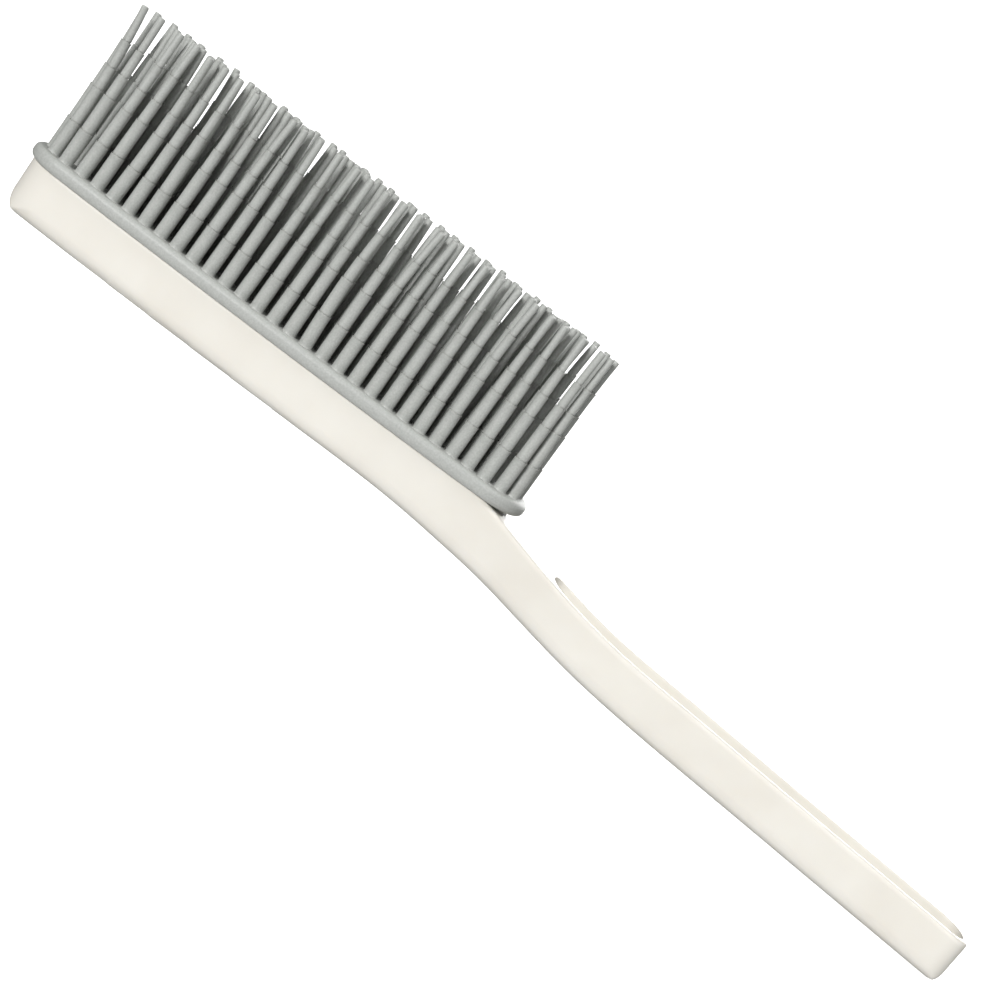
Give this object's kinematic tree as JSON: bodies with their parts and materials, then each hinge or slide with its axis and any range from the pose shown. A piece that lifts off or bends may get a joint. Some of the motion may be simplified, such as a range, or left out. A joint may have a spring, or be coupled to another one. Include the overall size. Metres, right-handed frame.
{
  "type": "bee brush",
  "caption": "Hand brush with a one-piece handle, open along the grip, and a soft pad of long stepped rubber fingers, for sweeping bees off a comb.",
  "frame": {"origin": "middle of the head's length, on the head's flat back, in the brush's plane of symmetry", "axes": "+X along the brush from the head's tip to the butt, +Z out of the fingers, +Y across the brush"},
  "size_m": [0.3865, 0.036, 0.096],
  "materials": {
    "ivory_plastic": "satin moulded polypropylene",
    "grey_rubber": "matte moulded thermoplastic rubber"
  },
  "bodies": {
    "root": {"handle": "ivory_plastic", "rubber_pad": "grey_rubber", "outer_row_left": "grey_rubber", "inner_row_left": "grey_rubber", "middle_row": "grey_rubber", "inner_row_right": "grey_rubber", "outer_row_right": "grey_rubber"}
  },
  "joints": []
}
